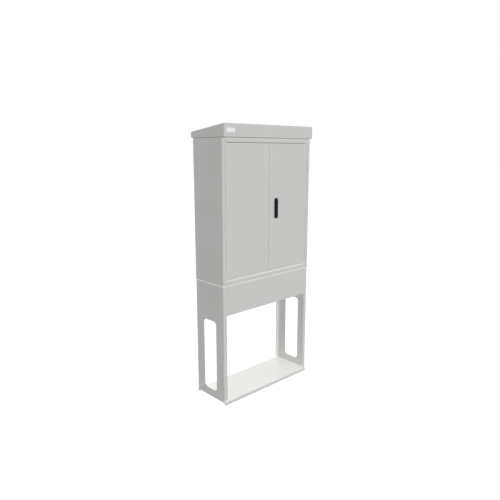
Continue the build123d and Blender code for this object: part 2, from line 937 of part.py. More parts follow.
parts = {
    "base_plate": base_plate(),
    "left_pedestal_posts": pedestal_posts(),
    "right_pedestal_posts": right(pedestal_posts()),
    "left_pedestal_wall": pedestal_wall(),
    "right_pedestal_wall": right(pedestal_wall()),
    "pedestal_lids": pedestal_lids(),
    "front_skirt": skirt(),
    "rear_skirt": mirror(skirt(), about=Plane.XZ),
    "pedestal_bolts": pedestal_bolts(),
    "pedestal_nuts": pedestal_nuts(),
    "floor_side_strips": floor_side_strips(),
    "floor_cross_strips": floor_cross_strips(),
    "left_side_panel": side_panel(),
    "right_side_panel": right(side_panel()),
    "back_panel": back_panel(),
    "top_rail": top_rail(),
    "bottom_rail": bottom_rail(),
    "top_panel": top_panel(),
    "roof": roof(),
    "roof_gasket": roof_gasket(),
    "roof_bolts": roof_bolts(),
    "roof_nuts": roof_nuts(),
    "door_seal": door_seal(),
    "pivot_bushes": pivot_bushes(),
    "door_keepers": door_keepers(),
    "mounting_plate": mounting_plate(),
    "mounting_brackets": mounting_brackets(),
    "din_rail_top": din_rail(rail_middle + rail_spacing),
    "din_rail_middle": din_rail(rail_middle),
    "din_rail_bottom": din_rail(rail_middle - rail_spacing),
    "cable_clamp_rail": cable_clamp_rail(),
    "earth_bar": earth_bar(),
    "earth_bar_supports": earth_bar_supports(),
    "left_door": right(door()),
    "left_door_pivot_blocks": right(pivot_blocks()),
    "left_door_pivot_pins": right(pivot_pins()),
    "meeting_seal": meeting_seal(),
    "left_upper_bolt": slide_bolt(),
    "left_lower_bolt": about_level(slide_bolt(), lip_middle),
    "left_bolt_guides": bolt_guides(),
    "right_door": right_door(),
    "right_door_pivot_blocks": pivot_blocks(),
    "right_door_pivot_pins": pivot_pins(),
    "handle_base": handle_base(),
    "handle_hub": handle_hub(),
    "handle_lever": handle_lever(),
    "lever_pin": lever_pin(),
    "lock_plug": lock_plug(),
    "lock_pinion": lock_pinion(),
    "lock_cover": lock_cover(),
    "upper_lock_rod": upper_lock_rod(),
    "lower_lock_rod": lower_lock_rod(),
    "rod_guides": rod_guides(),
}

os.makedirs("parts", exist_ok=True)
for name, part in parts.items():
    export_step(part, f"parts/{name}.step")
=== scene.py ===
import math

import bmesh
import bpy
from mathutils import Matrix, Vector


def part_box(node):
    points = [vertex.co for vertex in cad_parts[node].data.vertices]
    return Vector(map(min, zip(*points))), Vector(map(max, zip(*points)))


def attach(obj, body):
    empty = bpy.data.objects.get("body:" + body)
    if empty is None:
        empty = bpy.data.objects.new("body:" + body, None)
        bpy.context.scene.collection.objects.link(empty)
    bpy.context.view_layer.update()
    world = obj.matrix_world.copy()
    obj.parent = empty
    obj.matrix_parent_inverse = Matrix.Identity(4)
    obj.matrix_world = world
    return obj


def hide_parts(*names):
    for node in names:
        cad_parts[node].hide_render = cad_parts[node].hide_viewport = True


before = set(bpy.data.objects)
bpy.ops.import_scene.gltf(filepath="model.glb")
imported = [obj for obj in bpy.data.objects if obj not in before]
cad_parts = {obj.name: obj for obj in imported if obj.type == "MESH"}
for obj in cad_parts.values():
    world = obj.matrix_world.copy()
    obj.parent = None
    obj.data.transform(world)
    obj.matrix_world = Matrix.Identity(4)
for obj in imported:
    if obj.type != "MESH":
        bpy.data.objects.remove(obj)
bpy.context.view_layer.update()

scene = bpy.context.scene
scene.view_settings.view_transform = "Standard"

# Viewpoint
# The camera stands in front and to the left of the cabinet at eye height and looks slightly down,
# with the lens and the place that put every edge of the cabinet where the photograph has it.

sensor_width = 36
camera_lens = 35.69
camera_reach = 200
camera_place = (-2.32615, -2.43576, 1.64742)
camera_tilt = math.radians(78.615)
camera_turn = math.radians(-43.194)

camera_data = bpy.data.cameras.new("camera")
camera_data.sensor_width = sensor_width
camera_data.lens = camera_lens
camera_data.clip_end = camera_reach
camera = bpy.data.objects.new("camera", camera_data)
camera.location = camera_place
camera.rotation_euler = (camera_tilt, 0, camera_turn)
scene.collection.objects.link(camera)
scene.camera = camera

# Studio
# A wide white floor in a white room. Fill lamps in front, on the left and overhead reach into the
# seams and cast no shadow, lamps in front and behind do, and the room shades the corners.

floor_size = 60
floor_drop = 0.0004
floor_glow = 0.90
floor_grey = 0.24
floor_sheen = 0.16
room_fill = 0.15
white = (1, 1, 1, 1)

bpy.ops.object.select_all(action="DESELECT")
bpy.ops.mesh.primitive_plane_add(size=floor_size, location=(0, 0, -floor_drop))
floor = bpy.context.object
floor.name = "studio_floor"


def seen_directly(nodes, links):
    """One for rays that show the background itself: from the camera, in gloss or through glass."""
    path = nodes.new("ShaderNodeLightPath")
    seen = path.outputs["Is Camera Ray"]
    for ray in ("Is Glossy Ray", "Is Transmission Ray"):
        either = nodes.new("ShaderNodeMath")
        either.operation = "MAXIMUM"
        links.new(seen, either.inputs[0])
        links.new(path.outputs[ray], either.inputs[1])
        seen = either.outputs[0]
    return seen


# The floor is white where it is seen, and only lights the cabinet from below as a grey one would.
floor_paint = bpy.data.materials.new("studio_floor_white")
floor_paint.use_nodes = True
nodes, links = floor_paint.node_tree.nodes, floor_paint.node_tree.links
nodes.clear()
matt = nodes.new("ShaderNodeBsdfDiffuse")
matt.inputs["Color"].default_value = (floor_grey, floor_grey, floor_grey, 1)
faint = nodes.new("ShaderNodeBsdfDiffuse")
faint.inputs["Color"].default_value = (floor_sheen, floor_sheen, floor_sheen, 1)
glow = nodes.new("ShaderNodeEmission")
glow.inputs["Strength"].default_value = floor_glow
bright = nodes.new("ShaderNodeAddShader")
links.new(faint.outputs[0], bright.inputs[0])
links.new(glow.outputs[0], bright.inputs[1])
choose = nodes.new("ShaderNodeMixShader")
links.new(seen_directly(nodes, links), choose.inputs[0])
links.new(matt.outputs[0], choose.inputs[1])
links.new(bright.outputs[0], choose.inputs[2])
surface = nodes.new("ShaderNodeOutputMaterial")
links.new(choose.outputs[0], surface.inputs["Surface"])
floor.data.materials.append(floor_paint)

# The room is white where it is seen, and a faint even light elsewhere.
room = bpy.data.worlds.new("studio_room")
room.use_nodes = True
scene.world = room
nodes, links = room.node_tree.nodes, room.node_tree.links
nodes.clear()
fill = nodes.new("ShaderNodeBackground")
fill.inputs["Color"].default_value = white
fill.inputs["Strength"].default_value = room_fill
backdrop = nodes.new("ShaderNodeBackground")
backdrop.inputs["Color"].default_value = white
choose = nodes.new("ShaderNodeMixShader")
links.new(seen_directly(nodes, links), choose.inputs[0])
links.new(fill.outputs[0], choose.inputs[1])
links.new(backdrop.outputs[0], choose.inputs[2])
surface = nodes.new("ShaderNodeOutputWorld")
links.new(choose.outputs[0], surface.inputs["Surface"])

lamp_spread = math.radians(60)
front_way = (-0.08, -0.85, 0.40)
left_way = (-0.98, -0.15, 0.10)
top_way = (-0.30, -0.10, 0.95)
rear_way = (0.12, 0.80, 0.60)


def light_box(name, toward, strength, shadow):
    """A distant lamp, as soft as a wide light box. Without shadow, nothing blocks any of it."""
    data = bpy.data.lights.new(name, "SUN")
    data.energy = strength
    data.angle = lamp_spread
    data.use_shadow = shadow
    data.cycles.use_multiple_importance_sampling = shadow
    lamp = bpy.data.objects.new(name, data)
    lamp.rotation_euler = Vector(toward).to_track_quat("Z", "Y").to_euler()
    scene.collection.objects.link(lamp)


light_box("front_lamp", front_way, strength=0.24, shadow=True)
light_box("front_fill", front_way, strength=1.74, shadow=False)
light_box("left_fill", left_way, strength=0.24, shadow=False)
light_box("top_fill", top_way, strength=1.72, shadow=False)
light_box("rear_lamp", rear_way, strength=1.50, shadow=True)

# Pedestal
# Base plate, corner posts, side walls, lids and skirts are folded from sheet steel, welded, and
# powder coated light grey. The baked coat has a fine orange peel, a little drift in gloss, and a
# thin veil of dust where it faces up.


def texture_group(name, inputs, outputs):
    """An empty shader group with named sockets; gives the tree, its input and its output node."""
    group = bpy.data.node_groups.new(name, "ShaderNodeTree")
    for label, value in inputs.items():
        socket = group.interface.new_socket(label, in_out="INPUT", socket_type="NodeSocketFloat")
        socket.default_value = value
    for label in outputs:
        group.interface.new_socket(label, in_out="OUTPUT", socket_type="NodeSocketFloat")
    start = group.nodes.new("NodeGroupInput")
    end = group.nodes.new("NodeGroupOutput")
    return group, start, end


def feed(tree, value, socket):
    """Gives a socket what it takes: another socket's value, a number or a colour."""
    if hasattr(value, "node"):
        tree.links.new(value, socket)
    else:
        socket.default_value = value


def noise(tree, place, scale, detail):
    """Cloudy noise; scale is a socket or a number of waves in a metre."""
    node = tree.nodes.new("ShaderNodeTexNoise")
    node.inputs["Detail"].default_value = detail
    tree.links.new(place, node.inputs["Vector"])
    feed(tree, scale, node.inputs["Scale"])
    return node.outputs["Fac"]


def combine(tree, operation, first, second):
    """One step of arithmetic between two sockets, or a socket and a number."""
    node = tree.nodes.new("ShaderNodeMath")
    node.operation = operation
    feed(tree, first, node.inputs[0])
    feed(tree, second, node.inputs[1])
    return node.outputs[0]


def spread_out(tree, value, low, high, to_low=0, to_high=1):
    """Stretches a range of a value over another range, and holds it there."""
    node = tree.nodes.new("ShaderNodeMapRange")
    feed(tree, value, node.inputs["Value"])
    feed(tree, low, node.inputs["From Min"])
    feed(tree, high, node.inputs["From Max"])
    feed(tree, to_low, node.inputs["To Min"])
    feed(tree, to_high, node.inputs["To Max"])
    return node.outputs["Result"]


def mix_colours(tree, mask, first, second):
    """Blends two colours by a mask; the Mix node has its colours at inputs 6 and 7, output 2."""
    node = tree.nodes.new("ShaderNodeMix")
    node.data_type = "RGBA"
    feed(tree, mask, node.inputs["Factor"])
    feed(tree, first, node.inputs[6])
    feed(tree, second, node.inputs[7])
    return node.outputs[2]


def emboss(tree, shader, height, strength, depth):
    """Turns a height into a bump on the shader's surface."""
    relief = tree.nodes.new("ShaderNodeBump")
    relief.inputs["Strength"].default_value = strength
    relief.inputs["Distance"].default_value = depth
    tree.links.new(height, relief.inputs["Height"])
    tree.links.new(relief.outputs["Normal"], shader.inputs["Normal"])


# Fine surface grain: a height for bump, a slow mottle for colour and a drift for gloss.
noise_low, noise_high = 0.3, 0.7
peel_share = 0.75
pore_ratio = 3.1
drift_ratio = 6.3
grain, start, end = texture_group(
    "surface_grain", {"Grain": 900, "Mottle": 4}, ("Height", "Mottle", "Drift")
)
place = grain.nodes.new("ShaderNodeTexCoord").outputs["Object"]
peel = noise(grain, place, start.outputs["Grain"], detail=2)
pore_scale = combine(grain, "MULTIPLY", start.outputs["Grain"], pore_ratio)
pores = noise(grain, place, pore_scale, detail=1)
peel = combine(grain, "MULTIPLY", peel, peel_share)
pores = combine(grain, "MULTIPLY", pores, 1 - peel_share)
grain.links.new(combine(grain, "ADD", peel, pores), end.inputs["Height"])
mottle = noise(grain, place, start.outputs["Mottle"], detail=4)
grain.links.new(spread_out(grain, mottle, noise_low, noise_high), end.inputs["Mottle"])
drift_scale = combine(grain, "MULTIPLY", start.outputs["Mottle"], drift_ratio)
drift = noise(grain, place, drift_scale, detail=3)
grain.links.new(spread_out(grain, drift, noise_low, noise_high), end.inputs["Drift"])

# Dust that settles on what faces up, in thin patches.
dust_colour = (0.62, 0.60, 0.56, 1)
dust_roughness = 0.3
slope_bare, slope_full = 0.55, 0.95
patch_low, patch_high = 0.35, 0.75
thinnest_patch = 0.15
dust, start, end = texture_group("settled_dust", {"Patches": 18}, ("Mask",))
place = dust.nodes.new("ShaderNodeTexCoord").outputs["Object"]
facing = dust.nodes.new("ShaderNodeSeparateXYZ")
dust.links.new(dust.nodes.new("ShaderNodeNewGeometry").outputs["Normal"], facing.inputs[0])
level = spread_out(dust, facing.outputs["Z"], slope_bare, slope_full)
clouds = noise(dust, place, start.outputs["Patches"], detail=5)
patches = spread_out(dust, clouds, patch_low, patch_high, thinnest_patch, 1)
dust.links.new(combine(dust, "MULTIPLY", level, patches), end.inputs["Mask"])

grain_depth = 0.0004


def finish_material(
    name, dark, light, gloss, grain_scale, mottle_scale, bump, metallic=0, dusty=0, shine=0.5
):
    """A principled material whose colour, roughness and bump come from the surface grain."""
    material = bpy.data.materials.new(name)
    material.use_nodes = True
    tree = material.node_tree
    shader = tree.nodes["Principled BSDF"]
    shader.inputs["Metallic"].default_value = metallic
    shader.inputs["Specular IOR Level"].default_value = shine
    texture = tree.nodes.new("ShaderNodeGroup")
    texture.node_tree = grain
    texture.inputs["Grain"].default_value = grain_scale
    texture.inputs["Mottle"].default_value = mottle_scale
    colour = mix_colours(tree, texture.outputs["Mottle"], (*dark, 1), (*light, 1))
    rough = spread_out(tree, texture.outputs["Drift"], 0, 1, *gloss)
    if dusty:
        layer = tree.nodes.new("ShaderNodeGroup")
        layer.node_tree = dust
        mask = combine(tree, "MULTIPLY", layer.outputs["Mask"], dusty)
        colour = mix_colours(tree, mask, colour, dust_colour)
        rough = combine(tree, "ADD", rough, combine(tree, "MULTIPLY", mask, dust_roughness))
    tree.links.new(colour, shader.inputs["Base Color"])
    tree.links.new(rough, shader.inputs["Roughness"])
    emboss(tree, shader, texture.outputs["Height"], bump, grain_depth)
    return material


def dress(material, *names):
    """Gives CAD nodes their finish."""
    for name in names:
        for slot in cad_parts[name].material_slots:
            slot.material = material


grey_coat = finish_material(
    "light_grey_powder_coat", dark=(0.577, 0.586, 0.568), light=(0.602, 0.612, 0.594),
    gloss=(0.40, 0.50), grain_scale=1100, mottle_scale=3, bump=0.12, dusty=0.12,
)
dress(
    grey_coat,
    "base_plate", "left_pedestal_posts", "right_pedestal_posts", "left_pedestal_wall",
    "right_pedestal_wall", "pedestal_lids", "front_skirt", "rear_skirt",
)

# Post sheets
# Each corner post is one folded sheet: wall, flange, and a return at the top where the skirt is
# screwed on. Lower down the return is cut away, so the flange ends plain behind its bend.

return_sheet = 0.0026
return_depth = 0.050
bend_depth = 0.0032
cut_room = 0.002
tolerance = 1e-6


def plain_block(low, high):
    """A block between two corners."""
    bpy.ops.object.select_all(action="DESELECT")
    bpy.ops.mesh.primitive_cube_add(size=1)
    block = bpy.context.object
    middle = [(a + b) / 2 for a, b in zip(low, high)]
    size = [b - a for a, b in zip(low, high)]
    block.data.transform(Matrix.LocRotScale(middle, None, size))
    return block


def cut_away(piece, tool):
    """Takes the tool's volume out of a piece and removes the tool."""
    bpy.ops.object.select_all(action="DESELECT")
    bpy.context.view_layer.objects.active = piece
    cut = piece.modifiers.new("cut", "BOOLEAN")
    cut.operation = "DIFFERENCE"
    cut.solver = "EXACT"
    cut.object = tool
    bpy.ops.object.modifier_apply(modifier=cut.name)
    bpy.data.objects.remove(tool)


skirt_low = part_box("front_skirt")[0].z
for side in ("left", "right"):
    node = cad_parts[f"{side}_pedestal_posts"]
    sheets = node.copy()
    sheets.data = node.data.copy()
    sheets.name = f"{side}_post_sheets"
    sheets.data.name = sheets.name
    scene.collection.objects.link(sheets)
    bpy.ops.object.select_all(action="DESELECT")
    sheets.select_set(True)
    bpy.context.view_layer.objects.active = sheets
    bpy.ops.object.mode_set(mode="EDIT")
    bpy.ops.mesh.select_all(action="SELECT")
    bpy.ops.mesh.remove_doubles(threshold=tolerance)
    bpy.ops.object.mode_set(mode="OBJECT")
    low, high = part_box(node.name)
    if side == "left":
        near_x, far_x = high.x - return_sheet, high.x + cut_room
    else:
        near_x, far_x = low.x - cut_room, low.x + return_sheet
    for near_y, far_y in (
        (low.y + bend_depth, low.y + return_depth),
        (high.y - return_depth, high.y - bend_depth),
    ):
        cut_away(
            sheets, plain_block((near_x, near_y, low.z - cut_room), (far_x, far_y, skirt_low))
        )
    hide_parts(node.name)
    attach(sheets, "cabinet")

# Pedestal bolts
# Zinc-plated hex bolts and nuts hold the body on the lids: a cool satin metal with a slightly
# uneven passivated film.

zinc_plate = finish_material(
    "satin_zinc_plate", dark=(0.50, 0.52, 0.54), light=(0.64, 0.65, 0.66), metallic=1,
    gloss=(0.28, 0.46), grain_scale=1600, mottle_scale=22, bump=0.10,
)
dress(zinc_plate, "pedestal_bolts", "pedestal_nuts")

# Skirt screws
# Each skirt is fixed to the posts through its end flanges with zinc-plated button-head screws on
# washers, two at each end, driven from inside with a six-lobe key.

washer_radius = 0.0062
washer_thickness = 0.0012
button_radius = 0.0050
button_height = 0.0028
button_round = 0.0018
socket_radius = 0.0021
socket_depth = 0.0016
socket_lobe = 0.74
rim_round = 0.0003
rim_points = 24
points_per_lobe = 4
button_segments = 4
rim_segments = 2
button_smooth = math.radians(40)
turn_step = 1.9


def pick_faces(piece, wanted):
    """In edit mode, selects only the faces that the test on their middle and normal wants."""
    bpy.ops.mesh.select_mode(type="FACE")
    bpy.ops.mesh.select_all(action="DESELECT")
    mesh = bmesh.from_edit_mesh(piece.data)
    for face in mesh.faces:
        face.select_set(wanted(face.calc_center_median(), face.normal))
    bmesh.update_edit_mesh(piece.data)


def pick_edges(piece, wanted):
    """In edit mode, selects only the edges that the test on their two ends wants."""
    bpy.ops.mesh.select_mode(type="EDGE")
    bpy.ops.mesh.select_all(action="DESELECT")
    mesh = bmesh.from_edit_mesh(piece.data)
    for edge in mesh.edges:
        edge.select_set(wanted(*[vert.co for vert in edge.verts]))
    bmesh.update_edit_mesh(piece.data)


def pick_points(piece, wanted):
    """In edit mode, selects only the points that the test wants."""
    bpy.ops.mesh.select_mode(type="VERT")
    bpy.ops.mesh.select_all(action="DESELECT")
    mesh = bmesh.from_edit_mesh(piece.data)
    for vert in mesh.verts:
        vert.select_set(wanted(vert.co))
    mesh.select_flush_mode()
    bmesh.update_edit_mesh(piece.data)


def near(value, wanted):
    """Whether two lengths are equal but for rounding."""
    return abs(value - wanted) < tolerance


def raise_faces(height):
    """Extrudes the selected faces along Z."""
    bpy.ops.mesh.extrude_region_move(TRANSFORM_OT_translate={"value": (0, 0, height)})


def from_axis(point):
    """How far a point of a screw lies from its axis."""
    return math.hypot(point.x, point.y)


def on_lobe(point):
    """Whether a point of the socket's wall is one that stands in between two lobes of the key."""
    step = math.degrees(math.atan2(point.y, point.x)) * rim_points / 360
    return near(from_axis(point), socket_radius) and round(step) % points_per_lobe == 0


def on_washer_rim(point):
    """Whether a point lies on the upper rim of a button screw's washer, outside the button."""
    middle_radius = (button_radius + washer_radius) / 2
    return near(point.z, washer_thickness) and from_axis(point) > middle_radius


def button_screw():
    """A button-head screw on its washer, head up, seated at the origin."""
    bpy.ops.object.select_all(action="DESELECT")
    bpy.ops.mesh.primitive_cylinder_add(
        vertices=rim_points, radius=washer_radius, depth=washer_thickness,
        location=(0, 0, washer_thickness / 2),
    )
    screw = bpy.context.object
    bpy.ops.object.transform_apply(location=True, rotation=False, scale=False)
    top = washer_thickness + button_height
    bpy.ops.object.mode_set(mode="EDIT")
    pick_faces(screw, lambda middle, normal: near(normal.z, 1))
    bpy.ops.mesh.inset(thickness=washer_radius - button_radius)
    raise_faces(button_height)
    pick_edges(screw, lambda a, b: near(a.z, top) and near(b.z, top))
    bpy.ops.mesh.bevel(offset=button_round, segments=button_segments, affect="EDGES")
    pick_faces(screw, lambda middle, normal: near(middle.z, top))
    bpy.ops.mesh.inset(thickness=button_radius - button_round - socket_radius)
    raise_faces(-socket_depth)
    pick_points(screw, on_lobe)
    bpy.ops.transform.resize(value=(socket_lobe, socket_lobe, 1), center_override=(0, 0, 0))
    pick_edges(screw, lambda a, b: on_washer_rim(a) and on_washer_rim(b))
    bpy.ops.mesh.bevel(offset=rim_round, segments=rim_segments, affect="EDGES")
    bpy.ops.object.mode_set(mode="OBJECT")
    bpy.ops.object.shade_smooth_by_angle(angle=button_smooth)
    return screw


def join_pieces(pieces, whole):
    """Joins pieces to the one of them that stays."""
    bpy.ops.object.select_all(action="DESELECT")
    for piece in pieces:
        piece.select_set(True)
    bpy.context.view_layer.objects.active = whole
    bpy.ops.object.join()


def set_copies(model, name, material, seats, body):
    """Copies a modelled fastener to its seats, each facing its way, and joins them to one piece."""
    model.data.materials.append(material)
    copies = []
    for number, (seat, way) in enumerate(seats):
        copy = model.copy()
        copy.data = model.data.copy()
        face_way = Vector((0, 0, 1)).rotation_difference(Vector(way)).to_matrix().to_4x4()
        driven = Matrix.Rotation(number * turn_step, 4, "Z")
        copy.data.transform(Matrix.Translation(seat) @ face_way @ driven)
        scene.collection.objects.link(copy)
        copies.append(copy)
    join_pieces(copies, copy)
    bpy.data.objects.remove(model)
    copy.name = name
    copy.data.name = name
    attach(copy, body)


flange_sheet = 0.0025
screw_heights = (0.160, 0.046)
seats = []
for skirt in ("front_skirt", "rear_skirt"):
    low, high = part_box(skirt)
    middle_y = (low.y + high.y) / 2
    for end, way in ((low.x + flange_sheet, 1), (high.x - flange_sheet, -1)):
        seats += [((end, middle_y, low.z + rise), (way, 0, 0)) for rise in screw_heights]
set_copies(button_screw(), "skirt_screws", zinc_plate, seats, "cabinet")

# Body shell
# Floor strips, side panels, back panel, door rails and top panel are folded from sheet steel and
# welded, with the same baked coat as the pedestal.

dress(
    grey_coat,
    "floor_side_strips", "floor_cross_strips", "left_side_panel", "right_side_panel", "back_panel",
    "top_rail", "bottom_rail", "top_panel",
)

# Back panel screws
# The back panel lies against the inside of the side panels' rear flanges. Zinc-plated button-head
# screws, driven through the flanges from outside, hold it: four on each side.

flange_middle = 0.010
end_margin = 0.040
screw_rows = 4
low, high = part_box("left_side_panel")
panel_back = high.y
first_z = low.z + end_margin
row_step = (high.z - low.z - 2 * end_margin) / (screw_rows - 1)
edge_x = -low.x - flange_middle
seats = [
    ((x, panel_back, first_z + row * row_step), (0, 1, 0))
    for x in (-edge_x, edge_x)
    for row in range(screw_rows)
]
set_copies(button_screw(), "back_panel_screws", zinc_plate, seats, "cabinet")

# Roof
# A folded box that slopes to the back, with the same baked coat. It rests on a grey foam gasket
# and is held by four bolts from inside.

dress(grey_coat, "roof")
dress(zinc_plate, "roof_bolts", "roof_nuts")
grey_foam = finish_material(
    "grey_foam_rubber", dark=(0.095, 0.096, 0.097), light=(0.130, 0.131, 0.132),
    gloss=(0.80, 0.92), grain_scale=1400, mottle_scale=30, bump=0.5,
)
dress(grey_foam, "roof_gasket")

# Plate on the roof
# A blank white plastic plate with rounded corners, thin as a label, stuck on the left of the
# roof's front.

plate_width = 0.069
plate_height = 0.027
plate_thickness = 0.0006
plate_left = -0.382
plate_low = 1.7505
plate_corner = 0.009
plate_round = 0.0002
corner_segments = 12
front_segments = 3
moulded_smooth = math.radians(35)


def rounded_plate(low, high, low_corner, high_corner):
    """A plate seen from the front, with its own corner radius at the lower and at the upper end."""
    plate = plain_block(low, high)
    middle_z = (low[2] + high[2]) / 2
    bpy.ops.object.mode_set(mode="EDIT")
    pick_edges(plate, lambda a, b: not near(a.y, b.y) and a.z < middle_z)
    bpy.ops.mesh.bevel(offset=low_corner, segments=corner_segments, affect="EDGES")
    pick_edges(plate, lambda a, b: not near(a.y, b.y) and near(a.z, high[2]))
    bpy.ops.mesh.bevel(offset=high_corner, segments=corner_segments, affect="EDGES")
    bpy.ops.object.mode_set(mode="OBJECT")
    return plate


def round_front(piece, front_y, radius):
    """Rounds the edges round a piece's front face."""
    bpy.context.view_layer.objects.active = piece
    bpy.ops.object.mode_set(mode="EDIT")
    pick_edges(piece, lambda a, b: near(a.y, front_y) and near(b.y, front_y))
    bpy.ops.mesh.bevel(offset=radius, segments=front_segments, affect="EDGES")
    bpy.ops.object.mode_set(mode="OBJECT")


def finish_piece(piece, name, material, body):
    """Names a new piece, smooths it, and gives it its finish and the body that it rides on."""
    bpy.ops.object.select_all(action="DESELECT")
    piece.select_set(True)
    bpy.context.view_layer.objects.active = piece
    bpy.ops.object.shade_smooth_by_angle(angle=moulded_smooth)
    piece.name = name
    piece.data.name = name
    piece.data.materials.clear()
    piece.data.materials.append(material)
    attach(piece, body)


roof_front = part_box("roof")[0].y
plate_front = roof_front - plate_thickness
roof_plate = rounded_plate(
    (plate_left, plate_front, plate_low),
    (plate_left + plate_width, roof_front, plate_low + plate_height),
    plate_corner, plate_corner,
)
round_front(roof_plate, plate_front, plate_round)
plate_white = finish_material(
    "white_plate_plastic", dark=(0.84, 0.84, 0.83), light=(0.88, 0.88, 0.87),
    gloss=(0.30, 0.40), grain_scale=1500, mottle_scale=30, bump=0.08,
)
finish_piece(roof_plate, "roof_plate", plate_white, "cabinet")

# Doors
# Two folded trays with a return all round, coated as the body. Steel blocks in their outer corners
# carry zinc-plated pins that turn in natural nylon bushes in the rails.

dress(grey_coat, "left_door", "right_door")
for side in ("left", "right"):
    dress(zinc_plate, f"{side}_door_pivot_blocks", f"{side}_door_pivot_pins")
natural_nylon = finish_material(
    "natural_nylon", dark=(0.56, 0.54, 0.47), light=(0.62, 0.60, 0.53),
    gloss=(0.42, 0.55), grain_scale=1500, mottle_scale=25, bump=0.12,
)
dress(natural_nylon, "pivot_bushes")

# Seals
# The door seal is black foam rubber with a skin of fine pores, and the strip between the doors is
# the roof gasket's grey foam. Both are glued on.

foam_rubber = finish_material(
    "black_foam_rubber", dark=(0.018, 0.018, 0.019), light=(0.034, 0.034, 0.035),
    gloss=(0.78, 0.92), grain_scale=1400, mottle_scale=30, bump=0.5,
)
dress(foam_rubber, "door_seal")
dress(grey_foam, "meeting_seal")

# Painted shade over the doors
# A strip of black foam rubber under the top rail, behind the doors' upper edges, is painted shade:
# a dark sheet in the gap over the doors, where only shade falls, so that the gap shows as a dark
# line.

head_gap = 0.003
head_shade_strip_height = 0.0026
head_shade_strip_depth = 0.0044
head_shade_strip_space = 0.0006
head_shade_strip_round = 0.0004

low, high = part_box("left_door")
head_z = high.z + head_gap
shade_strip_front = high.y + head_shade_strip_space
# This black strip is painted shade in the gap over the doors, not a working seal.
head_shade_strip = plain_block(
    (low.x, shade_strip_front, head_z - head_shade_strip_height),
    (-low.x, shade_strip_front + head_shade_strip_depth, head_z),
)
round_front(head_shade_strip, shade_strip_front, head_shade_strip_round)
finish_piece(head_shade_strip, "head_shade_strip", foam_rubber, "cabinet")

# Swing handle
# Base and lever are moulded in black glass-filled nylon with a fine spark-eroded grain. The hub,
# the lever's pin and the lock plug are zinc castings under black lacquer.

black_grain = finish_material(
    "black_grained_plastic", dark=(0.0034, 0.0034, 0.0036), light=(0.0052, 0.0052, 0.0055),
    gloss=(0.42, 0.55), grain_scale=2300, mottle_scale=20, bump=0.35, shine=0.10,
)
dress(black_grain, "handle_base", "handle_lever")
black_lacquer = finish_material(
    "black_lacquered_casting", dark=(0.0040, 0.0040, 0.0042), light=(0.0065, 0.0065, 0.0067),
    gloss=(0.34, 0.48), grain_scale=1500, mottle_scale=24, bump=0.10, shine=0.12,
)
dress(black_lacquer, "handle_hub", "lever_pin", "lock_plug")

# Handle gasket
# A flat black rubber gasket lies round the handle's base on the door, a little wider than the base
# and square at its lower end, and keeps rain out of the hub's hole.

gasket_rim = 0.0022
gasket_foot = 0.0034
gasket_cap = 0.0012
gasket_thickness = 0.0016
gasket_corner = 0.0045
gasket_round = gasket_thickness / 3
base_end = 0.0115
base_corner = 0.0040
seat_gap = 0.00004
cut_reach = 0.010

low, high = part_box("handle_base")
gasket_front = high.y - gasket_thickness
gasket = rounded_plate(
    (low.x - gasket_rim, gasket_front, low.z - gasket_foot),
    (high.x + gasket_rim, high.y, high.z + gasket_cap),
    gasket_corner, gasket_corner,
)
round_front(gasket, gasket_front, gasket_round)
base_shape = rounded_plate(
    (low.x - seat_gap, low.y, low.z - seat_gap),
    (high.x + seat_gap, high.y + cut_reach, high.z + seat_gap),
    base_end, base_corner,
)
cut_away(gasket, base_shape)
finish_piece(gasket, "handle_gasket", foam_rubber, "right_door")

# Hood of the handle
# The base's upper end is raised into a hood that sheds rain over the lever's pivot. It is moulded
# in the same black plastic, and arched round the circle that the lever's top end turns in.

hood_height = 0.0093
hood_depth = 0.0072
hood_round = 0.0010
hood_corner = 0.0022
turning_circle = 0.0164
hole_points = 64
hole_depth = 4 * cut_reach


def front_hole(radius, x, y, z):
    """A round cutter along the depth, about a place on a front face."""
    bpy.ops.object.select_all(action="DESELECT")
    bpy.ops.mesh.primitive_cylinder_add(
        vertices=hole_points, radius=radius, depth=hole_depth,
        rotation=(math.pi / 2, 0, 0), location=(x, y, z),
    )
    bpy.ops.object.transform_apply(location=True, rotation=True, scale=True)
    return bpy.context.object


low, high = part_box("handle_base")
hood_front = low.y - hood_depth
hood = rounded_plate(
    (low.x, hood_front, high.z - hood_height), (high.x, low.y, high.z), hood_corner, base_corner
)
round_front(hood, hood_front, hood_round)
hub_low, hub_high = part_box("lock_pinion")
hub_z = (hub_low.z + hub_high.z) / 2
cut_away(hood, front_hole(turning_circle, (low.x + high.x) / 2, hood_front, hub_z))
finish_piece(hood, "handle_hood", black_grain, "right_door")

# Lever sleeve
# A cap moulded over the lever's front and sides, a little wider than the lever and square at its
# lower end, with cross ribs for a gloved hand and a hole over the lock plug.

sleeve_wall = 0.00175
sleeve_skin = 0.0010
sleeve_back = 0.0012
sleeve_end = 0.0018
sleeve_top = 0.0008
sleeve_corner = 0.0045
sleeve_shoulder = 0.0024
sleeve_round = 0.0012
lever_end = 0.0100
plug_hole = 0.0052
rib_width = 0.0150
rib_height = 0.0016
rib_depth = 0.0005
rib_corner = 0.00064
rib_round = 0.0003
rib_count = 10
rib_pitch = 0.0044
rib_rise = 0.0400

low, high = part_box("handle_lever")
plug_low, plug_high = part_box("lock_plug")
middle_x = (low.x + high.x) / 2
sleeve_front = low.y - sleeve_skin
sleeve = rounded_plate(
    (low.x - sleeve_wall, sleeve_front, low.z - sleeve_end),
    (high.x + sleeve_wall, high.y - sleeve_back, high.z - sleeve_top),
    sleeve_corner, sleeve_shoulder,
)
round_front(sleeve, sleeve_front, sleeve_round)
cavity = rounded_plate(
    (low.x - seat_gap, low.y - seat_gap, low.z - seat_gap),
    (high.x + seat_gap, high.y + cut_reach, high.z + cut_reach),
    lever_end - seat_gap, sleeve_shoulder,
)
cut_away(sleeve, cavity)
cut_away(sleeve, front_hole(plug_hole, middle_x, sleeve_front, (plug_low.z + plug_high.z) / 2))

